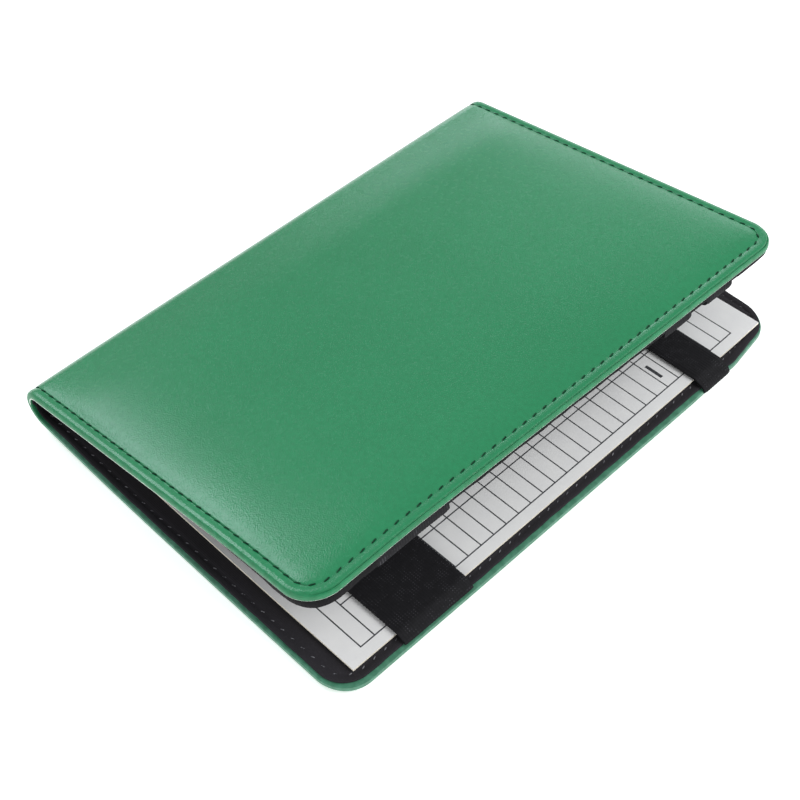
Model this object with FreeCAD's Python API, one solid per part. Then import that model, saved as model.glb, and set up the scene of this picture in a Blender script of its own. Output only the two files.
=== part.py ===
import FreeCAD, Part
import math
import os
from collections import namedtuple

from FreeCAD import Vector

# A bifold card holder: two padded leatherette covers joined by a soft fold, with elastic straps
# inside that hold a folded card. Millimetres and degrees.
# X runs from the fold to the free edges, Y along the fold, Z up from the surface it lies on.
# The origin is the centre of its bounding box, at the bottom.

# Covers
COVER_LENGTH = 170.0        # along the fold
OVERALL_WIDTH = 121.5       # outermost line of the fold to the back cover's free edge
FRONT_REACH = 109.6         # fold centre to the front cover's free edge
CORNER_RADIUS = 9.0         # free-side corners
FOLD_RADIUS = 6.2           # outer face of the fold
FRONT_TILT = 8.8            # the front cover springs open by this angle
BACK_LIFT = 4.8             # slope of the back cover where it meets the fold
LIFT_RADIUS = 605.0         # the back cover bends up to that slope at this radius

# Layers, as depths inwards from the outer face
LEATHER_DEPTH = 0.8         # outer leather
FOAM_DEPTH = 1.35           # bottom of the foam pad
HEM_DEPTH = 2.2             # the leather turned in round the edge
COVER_DEPTH = 2.85          # inner face of the lining
LAYER_GAP = 0.05            # clearance between two layers
HEM_WIDTH = 6.0             # how far the leather is turned in
LINING_INSET = 1.5          # bare hem outside the lining
PILLOW_HEIGHT = 1.2         # the front cover's padding stands this far above its edge
PILLOW_INSET = 4.0          # foot of the padding's slope, from the edge
PILLOW_TOP_INSET = 14.0     # and its top
PILLOW_START = 3.0          # foot of the slope, from the fold centre
BOARD_START = 5.0           # boards begin this far from the fold centre

# Stitching round the three free edges
STITCH_INSET = 3.0
STITCH_PITCH = 3.5
STITCH_GAP = 0.8
THREAD_WIDTH = 0.5
THREAD_HEIGHT = 0.25
GROOVE_WIDTH = 1.0
GROOVE_DEPTH = 0.5          # in the leather
THREAD_BASE_DEPTH = 0.35    # the threads' flat side, in the leather's groove
LINING_GROOVE_DEPTH = 0.35

# Elastic straps: centre along the fold, and width
BACK_STRAPS = {"back_wide_strap": (-53.4, 23.0), "back_narrow_strap": (51.0, 11.0)}
FRONT_STRAPS = {
    "front_wide_strap": (-53.7, 23.0),
    "front_narrow_strap_inner": (40.3, 11.0),
    "front_narrow_strap_outer": (57.3, 11.0),
}
STRAP_THICKNESS = 1.0
STRAP_START = 4.6           # sewn end, from the fold centre
STRAP_SEWN_LENGTH = 3.5     # lies flat on the lining
STRAP_RAMP = 1.6            # then rises over this distance
BACK_STRAP_FALL = 3.3       # the back strap bends down this far short of the edge
BACK_STRAP_TUCK = 0.15      # its end stops this far short of the edge
NOSE_RADIUS = 2.0           # outer radius of a front strap's slack bulge
NOSE_SIDE = 0.3             # the bulge stays this far inside the edge
NOSE_DEPTH = 4.3            # depth of the bulge's centre

# Folded card under the back straps
CARD_LENGTH = 152.4
CARD_WIDTH = 101.6
CARD_THICKNESS = 0.6
CARD_CENTRE_Y = -2.5
CARD_EDGE_INSET = 3.6       # from the back cover's free edge
CARD_CLEARANCE = 0.1        # over the lining
STRAP_CLEARANCE = 0.15      # between card and straps

# Hinges of the fold
HINGE_NOTCH = 4.5           # half angle of the clearance notch at each hinge line

OVERSHOOT = 1.0             # layers are drawn this far past the free edge, then trimmed
FAR = 300.0                 # longer than any part of the object
FOLD_CENTRE = Vector(
    FOLD_RADIUS - OVERALL_WIDTH / 2,
    0,
    LIFT_RADIUS - (LIFT_RADIUS - FOLD_RADIUS) * math.cos(math.radians(BACK_LIFT)),
)

Cover = namedtuple("Cover", "reach lift tilt")
BACK = Cover(OVERALL_WIDTH - FOLD_RADIUS, BACK_LIFT, 0.0)
FRONT = Cover(FRONT_REACH, 0.0, FRONT_TILT)

# A cover is drawn in its own frame: the fold centre at the origin, the cover along +X and its
# outer face downwards. Angles there are measured from +X towards +Z.
DOWN = 270.0


def polar(centre, radius, angle):
    """Point in the XZ plane at an angle from +X towards +Z."""
    turn = math.radians(angle)
    return centre + Vector(radius * math.cos(turn), 0, radius * math.sin(turn))


def line(start, end):
    return Part.LineSegment(start, end).toShape()


def arc(centre, radius, first, last):
    """Arc in the XZ plane between two angles."""
    middle = polar(centre, radius, (first + last) / 2)
    return Part.Arc(polar(centre, radius, first), middle, polar(centre, radius, last)).toShape()


def lift_centre(cover):
    """Centre of the arc that lifts the cover to the fold."""
    return polar(Vector(), LIFT_RADIUS - FOLD_RADIUS, DOWN - 180 - cover.lift)


def flat_height(cover, depth):
    """Height of the cover's flat part at a depth, from the fold centre."""
    return lift_centre(cover).z - LIFT_RADIUS + depth


def fold_end_angle(cover):
    """Direction in which the round of the fold runs into the cover."""
    return DOWN - cover.lift


def fold_middle_angle(cover):
    """Direction of the fold's outermost line."""
    return DOWN - 90 + cover.tilt


def hinge_angle(cover):
    """Direction of the hinge line: halfway round the cover's share of the fold."""
    return (fold_middle_angle(cover) + fold_end_angle(cover)) / 2


def surface_point(cover, x, depth):
    """Point of the cover between fold and free edge, at a depth inside its outer face."""
    centre = lift_centre(cover)
    if x >= centre.x:
        return Vector(x, 0, flat_height(cover, depth))
    radius = LIFT_RADIUS - depth
    return Vector(x, 0, centre.z - math.sqrt(radius ** 2 - (centre.x - x) ** 2))


def surface_edges(cover, depth, first_x, last_x):
    """Profile of the cover between two places, at a depth."""
    start = surface_point(cover, first_x, depth)
    end = surface_point(cover, last_x, depth)
    bend_end = lift_centre(cover).x
    if not cover.lift or first_x >= bend_end:
        return [line(start, end)]
    middle = surface_point(cover, (first_x + bend_end) / 2, depth)
    flat_start = surface_point(cover, bend_end, depth)
    return [Part.Arc(start, middle, flat_start).toShape(), line(flat_start, end)]


def fold_and_surface_edges(cover, depth):
    """Profile of the cover at a depth, from its hinge line to beyond its free edge."""
    radius = FOLD_RADIUS - depth
    fold = arc(Vector(), radius, hinge_angle(cover), fold_end_angle(cover))
    seam = polar(Vector(), radius, fold_end_angle(cover))
    return [fold] + surface_edges(cover, depth, seam.x, cover.reach + OVERSHOOT)


def extrude_profile(edges, length, centre_y=0):
    """Solid of a closed XZ profile, extruded along Y about a centre."""
    wire = Part.Wire(Part.__sortEdges__(edges))
    solid = Part.Face(wire).extrude(Vector(0, length, 0))
    solid.translate(Vector(0, centre_y - length / 2, 0))
    return solid


def closed_profile(outer, inner):
    """Edges of the closed profile between two open ones that run the same way."""
    start = line(outer[0].firstVertex().Point, inner[0].firstVertex().Point)
    end = line(outer[-1].lastVertex().Point, inner[-1].lastVertex().Point)
    return outer + inner + [start, end]


def rounded_rectangle(first_x, last_x, first_y, last_y, radius, height):
    """Closed wire with four rounded corners, at a height."""
    corner = radius * (1 - math.sqrt(0.5))
    sides = [(first_x, 1), (last_x, -1)]
    edges = []
    ends = {}
    for x, inward_x in sides:
        for y, inward_y in [(first_y, 1), (last_y, -1)]:
            along = Vector(x + inward_x * radius, y, height)
            middle = Vector(x + inward_x * corner, y + inward_y * corner, height)
            across = Vector(x, y + inward_y * radius, height)
            edges.append(Part.Arc(along, middle, across).toShape())
            ends[x, y] = (along, across)
    for y in (first_y, last_y):
        edges.append(line(ends[first_x, y][0], ends[last_x, y][0]))
    for x in (first_x, last_x):
        edges.append(line(ends[x, first_y][1], ends[x, last_y][1]))
    return Part.Wire(Part.__sortEdges__(edges))


def outline_wire(cover, inset, start, height):
    """Outline of a cover, shrunk by an inset on its three free edges."""
    half = COVER_LENGTH / 2 - inset
    radius = max(CORNER_RADIUS - inset, STITCH_INSET)
    return rounded_rectangle(start, cover.reach - inset, -half, half, radius, height)


def outline_prism(cover, inset, start=-FAR):
    face = Part.Face(outline_wire(cover, inset, start, -FAR))
    return face.extrude(Vector(0, 0, 2 * FAR))


def layer(cover, top, bottom, inset, start=-FAR):
    """Sheet of the cover between two depths, inside an inset outline, from the hinge line on."""
    outer = fold_and_surface_edges(cover, top)
    inner = fold_and_surface_edges(cover, bottom)
    sheet = extrude_profile(closed_profile(outer, inner), COVER_LENGTH)
    return sheet.common(outline_prism(cover, inset, start))


def stitch_groove(cover, top, bottom):
    """Groove along the stitch line, between two depths."""
    outside = layer(cover, top, bottom, STITCH_INSET - GROOVE_WIDTH / 2)
    return outside.cut(outline_prism(cover, STITCH_INSET + GROOVE_WIDTH / 2))


def hinge_point(cover):
    """Hinge axis about which the cover's share of the fold unrolls flat.

    A curved strip of a given turn straightens when its far end turns about the point on its
    bisector that keeps the strip's outer face the same length."""
    turn = math.radians(fold_end_angle(cover) - fold_middle_angle(cover))
    distance = FOLD_RADIUS * (turn / 2) / math.sin(turn / 2)
    return polar(Vector(), distance, hinge_angle(cover))


def hinge_notch(cover):
    """V clearance along a hinge line, with its edge on the hinge axis."""
    tip = hinge_point(cover)
    inward = hinge_angle(cover) - 180
    left = polar(tip, FOLD_RADIUS, inward - HINGE_NOTCH)
    right = polar(tip, FOLD_RADIUS, inward + HINGE_NOTCH)
    return extrude_profile([line(tip, left), line(left, right), line(right, tip)], FAR)


def pillow(cover, depth, inset, start):
    """Raised centre of the front cover's padding, with its foot at a depth and an inset."""
    foot = outline_wire(cover, inset, start, flat_height(cover, depth))
    top_height = flat_height(cover, depth - PILLOW_HEIGHT)
    top = outline_wire(cover, PILLOW_TOP_INSET, PILLOW_TOP_INSET, top_height)
    return Part.makeLoft([foot, top], True, True)


def outer_leather(cover):
    """Cover leather with its edge turned in, and a groove for the stitches."""
    sheet = layer(cover, 0, HEM_DEPTH, 0)
    pocket = layer(cover, LEATHER_DEPTH, HEM_DEPTH, HEM_WIDTH)
    groove = stitch_groove(cover, 0, GROOVE_DEPTH)
    return sheet.cut(pocket).cut(groove).cut(hinge_notch(cover))


def foam_pad(cover):
    return layer(cover, LEATHER_DEPTH + LAYER_GAP, FOAM_DEPTH, HEM_WIDTH + LAYER_GAP, BOARD_START)


def stiffener_board(cover):
    return layer(cover, FOAM_DEPTH + LAYER_GAP, HEM_DEPTH, HEM_WIDTH + LAYER_GAP, BOARD_START)


def lining(cover):
    """Fabric panel over the board and the turned-in edge."""
    sheet = layer(cover, HEM_DEPTH + LAYER_GAP, COVER_DEPTH, LINING_INSET)
    groove = stitch_groove(cover, COVER_DEPTH - LINING_GROOVE_DEPTH, COVER_DEPTH)
    return sheet.cut(groove).cut(hinge_notch(cover))


def strap_head(cover, lift):
    """Sewn end of a strap and its ramp: lower and upper corners, from the fold side on."""
    rest = COVER_DEPTH + LAYER_GAP
    ramp_start = STRAP_START + STRAP_SEWN_LENGTH
    places = [(STRAP_START, rest), (ramp_start, rest), (ramp_start + STRAP_RAMP, rest + lift)]
    lower = [surface_point(cover, x, depth) for x, depth in places]
    upper = [surface_point(cover, x, depth + STRAP_THICKNESS) for x, depth in places]
    return lower, upper


def chain(points):
    """Straight edges through points."""
    return [line(start, end) for start, end in zip(points, points[1:])]


def back_strap(centre_y, width):
    """Strap over the card, down over the card's edge and into the seam at the free edge."""
    under = COVER_DEPTH + CARD_CLEARANCE + CARD_THICKNESS + STRAP_CLEARANCE
    over = under + STRAP_THICKNESS
    lower_head, upper_head = strap_head(BACK, under - COVER_DEPTH - LAYER_GAP)
    fall = BACK.reach - BACK_STRAP_FALL
    lining_edge = BACK.reach - LINING_INSET + LAYER_GAP
    end = BACK.reach - BACK_STRAP_TUCK
    tail = [
        surface_point(BACK, fall, under),
        surface_point(BACK, lining_edge, COVER_DEPTH + LAYER_GAP),
        surface_point(BACK, lining_edge, HEM_DEPTH + LAYER_GAP),
        surface_point(BACK, end, HEM_DEPTH + LAYER_GAP),
        surface_point(BACK, end, HEM_DEPTH + LAYER_GAP + STRAP_THICKNESS),
        surface_point(BACK, fall, over),
    ]
    lower = surface_edges(BACK, under, lower_head[-1].x, fall)
    upper = surface_edges(BACK, over, upper_head[-1].x, fall)
    head = chain(lower_head) + chain(upper_head) + [line(lower_head[0], upper_head[0])]
    return extrude_profile(head + lower + chain(tail) + upper, width, centre_y)


def front_strap(centre_y, width):
    """Slack strap: it hangs away from the lining and bulges where it enters the free edge."""
    lower_head, upper_head = strap_head(FRONT, 0)
    side = FRONT.reach - NOSE_SIDE
    nose = surface_point(FRONT, side - NOSE_RADIUS, NOSE_DEPTH)
    inner_radius = NOSE_RADIUS - STRAP_THICKNESS
    seam = HEM_DEPTH + LAYER_GAP
    inner_side = surface_point(FRONT, side - STRAP_THICKNESS, seam)
    outer_side = surface_point(FRONT, side, seam)
    # In the cover's frame the inner face looks up, so the bulge is a quarter round from +X to +Z.
    inner_nose = arc(nose, inner_radius, 0, 90)
    outer_nose = arc(nose, NOSE_RADIUS, 0, 90)
    edges = chain(lower_head[:2]) + chain(upper_head[:2]) + [line(lower_head[0], upper_head[0])]
    edges += [line(lower_head[1], polar(nose, inner_radius, 90))]
    edges += [line(upper_head[1], polar(nose, NOSE_RADIUS, 90))]
    edges += [inner_nose, outer_nose]
    edges += chain([polar(nose, inner_radius, 0), inner_side, outer_side, polar(nose, NOSE_RADIUS, 0)])
    return extrude_profile(edges, width, centre_y)


def thread(start, end, normal):
    """One stitch: a half-round length of thread lying on a surface."""
    side = (end - start).cross(normal).normalize() * (THREAD_WIDTH / 2)
    crown = start + normal * THREAD_HEIGHT
    bow = Part.Arc(start + side, crown, start - side).toShape()
    section = Part.Face(Part.Wire([bow, line(start - side, start + side)]))
    return section.extrude(end - start)


def shortened(start, end):
    """The ends of a stitch that fills a pitch, less the gap to its neighbours."""
    trim = (end - start).normalize() * (STITCH_GAP / 2)
    return start + trim, end - trim


def edge_stitches(cover, depth, outward):
    """Stitches round a cover's three free edges, at a depth.

    outward is -1 where the thread stands out of the outer face and 1 out of the lining."""
    half = COVER_LENGTH / 2 - STITCH_INSET
    reach = cover.reach - STITCH_INSET
    radius = CORNER_RADIUS - STITCH_INSET
    corner = radius * (1 - math.sqrt(0.5))
    edges = [line(Vector(reach, radius - half, 0), Vector(reach, half - radius, 0))]
    for end in (-1, 1):
        turn_start = Vector(reach - radius, end * half, 0)
        turn_middle = Vector(reach - corner, end * (half - corner), 0)
        turn_end = Vector(reach, end * (half - radius), 0)
        edges.append(Part.Arc(turn_start, turn_middle, turn_end).toShape())
        edges.append(line(Vector(0, end * half, 0), turn_start))
    path = Part.Wire(Part.__sortEdges__(edges))
    count = round(path.Length / STITCH_PITCH)
    points = path.discretize(Number=count + 1)
    places = [surface_point(cover, p.x, depth) + Vector(0, p.y, 0) for p in points]
    stitches = []
    for start, end in zip(places, places[1:]):
        slope = lift_centre(cover).x - (start.x + end.x) / 2
        lean = math.asin(max(slope, 0) / LIFT_RADIUS)
        normal = Vector(math.sin(lean), 0, math.cos(lean)) * outward
        stitches.append(thread(*shortened(start, end), normal))
    return stitches


def fold_stitches(first, last, inner, count):
    """Straight stitches round part of the fold, at both ends of it."""
    radius = FOLD_RADIUS - (COVER_DEPTH - THREAD_HEIGHT if inner else GROOVE_DEPTH - LAYER_GAP)
    outward = -1 if inner else 1
    step = (last - first) / count
    half_length = (math.radians(step) * radius - STITCH_GAP) / 2
    stitches = []
    for y in (STITCH_INSET - COVER_LENGTH / 2, COVER_LENGTH / 2 - STITCH_INSET):
        for index in range(count):
            angle = first + (index + 0.5) * step
            middle = polar(Vector(0, y, 0), radius, angle)
            along = polar(Vector(), half_length, angle + 90)
            stitches.append(thread(middle - along, middle + along, polar(Vector(), outward, angle)))
    return stitches


def cover_stitches(cover, inner):
    """A cover's stitches, on its outer face or on its lining, with those of its share of the fold."""
    if inner:
        depth, outward = COVER_DEPTH - LINING_GROOVE_DEPTH + LAYER_GAP, 1
    else:
        depth, outward = THREAD_BASE_DEPTH, -1
    fold = fold_stitches(hinge_angle(cover) + HINGE_NOTCH, fold_end_angle(cover), inner, 1)
    return Part.makeCompound(edge_stitches(cover, depth, outward) + fold)


def tack_stitches(cover, straps):
    """Row of stitches across the sewn end of each strap."""
    top = COVER_DEPTH + 2 * LAYER_GAP + STRAP_THICKNESS
    row_x = STRAP_START + STRAP_SEWN_LENGTH / 2
    stitches = []
    for centre_y, width in straps.values():
        count = int(width / STITCH_PITCH)
        first_y = centre_y - count * STITCH_PITCH / 2
        for index in range(count):
            start = surface_point(cover, row_x, top) + Vector(0, first_y + index * STITCH_PITCH, 0)
            end = start + Vector(0, STITCH_PITCH, 0)
            stitches.append(thread(*shortened(start, end), Vector(0, 0, 1)))
    return Part.makeCompound(stitches)


def card():
    """Folded card between the back cover's lining and its straps."""
    top = COVER_DEPTH + CARD_CLEARANCE
    edge = BACK.reach - CARD_EDGE_INSET
    outer = surface_edges(BACK, top, edge - CARD_WIDTH, edge)
    inner = surface_edges(BACK, top + CARD_THICKNESS, edge - CARD_WIDTH, edge)
    return extrude_profile(closed_profile(outer, inner), CARD_LENGTH, CARD_CENTRE_Y)


def front_hinge_angle():
    """Direction of the front cover's hinge line, with the cover in its place over the fold."""
    return 360 - hinge_angle(FRONT) + FRONT_TILT


def fold_sheet(top, bottom, length):
    """Sheet round the middle of the fold, between two depths."""
    outer = [arc(Vector(), FOLD_RADIUS - top, front_hinge_angle(), hinge_angle(BACK))]
    inner = [arc(Vector(), FOLD_RADIUS - bottom, front_hinge_angle(), hinge_angle(BACK))]
    sheet = extrude_profile(closed_profile(outer, inner), length)
    return sheet.cut(hinge_notch(BACK)).cut(turned_over(hinge_notch(FRONT)))


def fold_leather():
    """Leather of the fold, turned in at both ends, with grooves for the stitches."""
    sheet = fold_sheet(0, HEM_DEPTH, COVER_LENGTH)
    pocket = fold_sheet(LEATHER_DEPTH, HEM_DEPTH, COVER_LENGTH - 2 * HEM_WIDTH)
    outside = COVER_LENGTH - 2 * STITCH_INSET + GROOVE_WIDTH
    groove = fold_sheet(0, GROOVE_DEPTH, outside)
    core = fold_sheet(0, GROOVE_DEPTH, outside - 2 * GROOVE_WIDTH)
    return sheet.cut(pocket).cut(groove.cut(core))


def fold_lining():
    sheet = fold_sheet(HEM_DEPTH + LAYER_GAP, COVER_DEPTH, COVER_LENGTH - 2 * LINING_INSET)
    outside = COVER_LENGTH - 2 * STITCH_INSET + GROOVE_WIDTH
    top = COVER_DEPTH - LINING_GROOVE_DEPTH
    groove = fold_sheet(top, COVER_DEPTH, outside)
    core = fold_sheet(top, COVER_DEPTH, outside - 2 * GROOVE_WIDTH)
    return sheet.cut(groove.cut(core))


def fold_foam():
    length = COVER_LENGTH - 2 * (HEM_WIDTH + LAYER_GAP)
    return fold_sheet(LEATHER_DEPTH + LAYER_GAP, HEM_DEPTH, length)


def spine_stitches(inner):
    first = front_hinge_angle() + HINGE_NOTCH
    last = hinge_angle(BACK) - HINGE_NOTCH
    return Part.makeCompound(fold_stitches(first, last, inner, 2))


def turned_over(shape):
    """A front cover piece in its place over the fold, from the frame it is drawn in."""
    placed = shape.mirror(Vector(), Vector(0, 0, 1))
    placed.rotate(Vector(), Vector(0, 1, 0), -FRONT_TILT)
    return placed


def back_pieces():
    pieces = {
        "back_outer_leather": outer_leather(BACK),
        "back_foam_pad": foam_pad(BACK),
        "back_stiffener_board": stiffener_board(BACK),
        "back_lining": lining(BACK),
        "back_edge_stitching": cover_stitches(BACK, inner=False),
        "back_lining_stitching": cover_stitches(BACK, inner=True),
        "back_strap_tacks": tack_stitches(BACK, BACK_STRAPS),
        "scorecard": card(),
    }
    for name, (centre_y, width) in BACK_STRAPS.items():
        pieces[name] = back_strap(centre_y, width)
    return pieces


def spine_pieces():
    return {
        "spine_outer_leather": fold_leather(),
        "spine_foam_strip": fold_foam(),
        "spine_lining": fold_lining(),
        "spine_edge_stitching": spine_stitches(inner=False),
        "spine_lining_stitching": spine_stitches(inner=True),
    }


def front_pieces():
    hollow = pillow(FRONT, LEATHER_DEPTH, HEM_WIDTH, BOARD_START)
    leather = outer_leather(FRONT).fuse(pillow(FRONT, 0, PILLOW_INSET, PILLOW_START)).cut(hollow)
    filling = pillow(FRONT, LEATHER_DEPTH + LAYER_GAP, HEM_WIDTH + LAYER_GAP, BOARD_START)
    foam = foam_pad(FRONT).fuse(filling)
    pieces = {
        "front_outer_leather": leather.removeSplitter(),
        "front_foam_pad": foam.removeSplitter(),
        "front_stiffener_board": stiffener_board(FRONT),
        "front_lining": lining(FRONT),
        "front_edge_stitching": cover_stitches(FRONT, inner=False),
        "front_lining_stitching": cover_stitches(FRONT, inner=True),
        "front_strap_tacks": tack_stitches(FRONT, FRONT_STRAPS),
    }
    for name, (centre_y, width) in FRONT_STRAPS.items():
        pieces[name] = front_strap(centre_y, width)
    return {name: turned_over(shape) for name, shape in pieces.items()}


def main():
    os.makedirs("parts", exist_ok=True)
    pieces = {**back_pieces(), **spine_pieces(), **front_pieces()}
    for name, shape in pieces.items():
        shape.translate(FOLD_CENTRE)
        shape.exportStep(f"parts/{name}.step")
    print("back hinge axis at", FOLD_CENTRE + hinge_point(BACK))
    reach = hinge_point(FRONT).Length
    print("front hinge axis at", FOLD_CENTRE + polar(Vector(), reach, front_hinge_angle()))


main()
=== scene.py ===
import math

import bmesh
import bpy
import numpy as np
from mathutils import Matrix, Vector


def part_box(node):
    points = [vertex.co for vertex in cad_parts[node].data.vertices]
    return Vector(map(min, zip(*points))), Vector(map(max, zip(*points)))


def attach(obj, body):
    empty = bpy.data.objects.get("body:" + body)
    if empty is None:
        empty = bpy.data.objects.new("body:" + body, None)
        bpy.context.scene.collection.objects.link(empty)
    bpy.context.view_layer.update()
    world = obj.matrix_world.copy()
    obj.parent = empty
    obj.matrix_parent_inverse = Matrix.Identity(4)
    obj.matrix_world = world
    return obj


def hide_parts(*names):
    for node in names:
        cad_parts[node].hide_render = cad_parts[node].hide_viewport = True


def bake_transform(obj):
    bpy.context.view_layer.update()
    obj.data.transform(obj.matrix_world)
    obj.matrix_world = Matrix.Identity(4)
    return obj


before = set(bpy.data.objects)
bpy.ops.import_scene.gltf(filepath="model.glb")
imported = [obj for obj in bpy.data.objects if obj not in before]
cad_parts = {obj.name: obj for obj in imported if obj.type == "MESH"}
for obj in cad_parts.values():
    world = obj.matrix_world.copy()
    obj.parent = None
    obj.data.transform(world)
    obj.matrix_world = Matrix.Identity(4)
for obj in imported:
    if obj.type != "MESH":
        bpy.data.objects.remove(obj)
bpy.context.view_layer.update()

# A bifold card holder: padded green leatherette covers round a soft fold, black lining, elastic
# straps and a printed card. Sizes are in millimetres and degrees, and meshes are made in metres.
# A place on a cover is (s, y, depth): s runs along the cover's outer face from where the fold
# ends to the free edge, and is negative round the fold; y runs along the fold; depth goes inwards
# from the outer face.

MM = 0.001


def box_mm(node):
    low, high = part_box(node)
    return np.array(low) / MM, np.array(high) / MM


# Covers
HALF_LENGTH = box_mm("back_outer_leather")[1][1]
FOLD_RADIUS = 6.2
LIFT_RADIUS = 605.0         # the back cover curves up gently into the fold
BACK_LIFT = 4.8
FRONT_TILT = 8.8
FRONT_TWIST = 1.2           # the front cover is this much steeper at its near end
FRONT_REACH = 109.6
CORNER_RADIUS = 9.0
FOLD_X = box_mm("spine_outer_leather")[0][0] + FOLD_RADIUS
FOLD_Z = LIFT_RADIUS - (LIFT_RADIUS - FOLD_RADIUS) * math.cos(math.radians(BACK_LIFT))
BACK_REACH = box_mm("back_outer_leather")[1][0] - FOLD_X

# How handling has bent the soft covers
CURL_LENGTH = 50.0          # the back cover's free corners curl up over this length
NEAR_CURL = 0.4
FAR_CURL = 0.5
TAPER_START = 60.0          # beyond this y, the far ends are drawn in
FOLD_TAPER = 1.4            # by this much at the fold, and all across the front cover
BACK_TAPER = 6.0            # and by this much at the back cover's free edge
CORNER_PULL = 2.7           # the back cover's far corner is drawn towards the fold as well
CORNER_PULL_LENGTH = 30.0
CARD_CURL = 0.8             # the card's far corner curls up by this much more
CARD_CURL_START = 60.0
DROOP = 1.5                 # the front cover's near corner droops
DROOP_LENGTH = 34.0

# Layers, as depths from the outer face
LEATHER = 0.8
FOAM = 1.35
HEM = 2.2
LINING_UNDER = 2.3
LINING = 2.85
LAYER_GAP = 0.05
LINING_SAG = 0.9            # how far the front lining hangs at its free edge
NEAR_LINING_SAG = 2.3       # and at its near corner
SAG_CORNER = (40.0, 6.0)    # the near corner's sag grows between these distances from the end
SAG_WIDTH = 20.0            # the sag's width along the free edge
SAG_WIDTH_MORE = 25.0       # how much wider it is at the near corner
SAG_EDGE = (0.5, 8.0)       # it fades between these distances from the edge
FRONT_LINING_INSET = 0.45
BACK_LINING_INSET = 0.95
FAR_LINING_INSET = 0.45     # the back lining's inset beyond its far strap
FAR_STRAP_Y = (44.0, 60.0)  # the inset changes between these
# Waves of the lining: each as height, radians a millimetre along s and along y, and phase
EDGE_WAVES = ((0.05, 0.0, 0.9, 1.3), (0.04, 0.41, 0.37, 0.0), (0.03, 0.83, 0.0, 0.0))
RIPPLES = ((0.05, 0.11, 0.23, 0.0), (0.04, 0.31, -0.13, 2.0))
RIPPLE_INSET = (4.0, 12.0)  # the ripples grow between these insets
CRUMPLES = ((0.18, 0.5, 0.33, 0.0), (0.12, -0.2, 0.61, 0.0))
CRUMPLE_SHARE = 0.4         # share of the crumples along the edge; the near corner has them all

# Edge, stitches and padding
STITCH_INSET = 3.0
STITCH_PITCH = 3.5
STITCH_LENGTH = 2.1
STITCH_SLANT = 0.26
STITCH_DIP = 0.42           # the thread's ends go down by this much
THREAD_END = 0.25           # and narrow to this share of its radius
TOP_SINK = 0.45             # share of the groove's depth at which the thread lies
BOBBIN_SINK = 0.7
THREAD_RADIUS = 0.195
BOBBIN_LENGTH = 1.3         # what shows of a stitch on the lining side
BOBBIN_RADIUS = 0.15
GROOVE = 0.3                # the stitches pull the leather down this far
SEAM_CREASE = 0.16          # on the near and far edges the seam line creases this much deeper
LINING_GROOVE = 0.3
RIM_BULGE = 0.3             # the back cover's free edge bulges out past its lining
RIM_BULGE_END = (40.0, 55.0)    # the bulge fades out between these y
RAW_EDGE_TOP = 1.78         # depth at which the leather's cut edge begins
RAW_EDGE_NARROWING = 0.2    # it is this much narrower towards the free edge
RAW_EDGE_NARROWS = (45.0, 80.0)     # it narrows between these s
FOLD_HEM_DROP = 0.6         # round the fold the hem lies clear of the lining's stitches
FOLD_HEM_END = 6.0          # s at which that ends
FOLD_HEM_INSET = (1.2, 2.4)     # and it grows between these insets
FOLD_HEM_TOP = 1.8          # depth at which the drop begins
EDGE_ZONE = 6.2             # width of the edge that follows the outline
FILLING_INSET = 6.3         # edge of the pads and boards
PUFF_START = 3.3            # padding swells from beside the stitches
PUFF_SOFT = 2.0
PUFF_PRESSURE = 4.0
PUFF_SWELL = 12.0           # how far the free middle of the face would swell
PUFF_LIMIT = 1.9            # how far the foam lets it
PUFF_FRAMES = 20
PUFF_STEP = 2.0             # spacing of the simulated face's points
SEWN_MARGIN = 0.01          # points this close to the seam are sewn down
FOLD_PUFF_END = 20.0        # beside the fold the padding grows slowly

# Straps
BACK_STRAPS = ["back_wide_strap", "back_narrow_strap"]
FRONT_STRAPS = ["front_wide_strap", "front_narrow_strap_inner", "front_narrow_strap_outer"]
STRAP_THICKNESS = 1.0
STRAP_START = 4.6           # from the fold centre
STRAP_SEWN = 3.5
STRAP_GAP = 0.05            # between lining and strap
STRAP_MARGIN = 0.15         # a strap's edges stay this far inside its box
TACK_ROWS = (1.0, 2.5)      # from the strap's hidden end
TACK_INSET = 0.8
TACK_MARGIN = 0.2           # clear length before a row's first stitch
OVER_CARD = 1.25            # a back strap's middle, above the card's lower face
FRONT_STRAP_DEPTH = 5.8     # how far a front strap hangs from the outer face
NARROW_STRAP_RISE = 0.3     # the narrow ones hang less
RIB_PITCH = 0.75
RIB_HEIGHT = 0.08
RIB_STEPS = 4
RIB_FULLNESS = 0.6          # below 1 the ribs are full and the grooves narrow
LOOP_STEP = 0.5             # the woven edges zigzag
LOOP_HEIGHT = 0.06
LOOP_START = 0.97           # from this share of the half width on
SELVEDGE = 1.2              # a strap thins over this width towards its edges
SELVEDGE_THINNING = 0.35    # by this share

# Card
CARD_LEAF = 0.27
CARD_GAP = 0.06
CARD_DEPTH = 3.2
CARD_EDGE_INSET = 3.6
CARD_LOW, CARD_HIGH = box_mm("scorecard")
CARD_SHIFT = 0.5            # the card is not quite centred
CARD_BEND = 0.3             # its leaves end this far from the bend's outer face
CARD_STEPS = (40, 60)
CARD_BEND_STEPS = 8
ROW_FIRST = -72.8           # the printed rows along the card
ROW_LAST = 66.1
ROW_COUNT = 31
FRAME_X = 53.9              # the printed frame's outer line
COLUMN_PITCH = 11.75
LINE_WIDTH = 0.36
COLUMNS_END = 48.0          # the inner columns stop here, and start at the second row
DASH_X = (45.0, 50.6)
DASH_Y = (40.3, 41.3)

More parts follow.
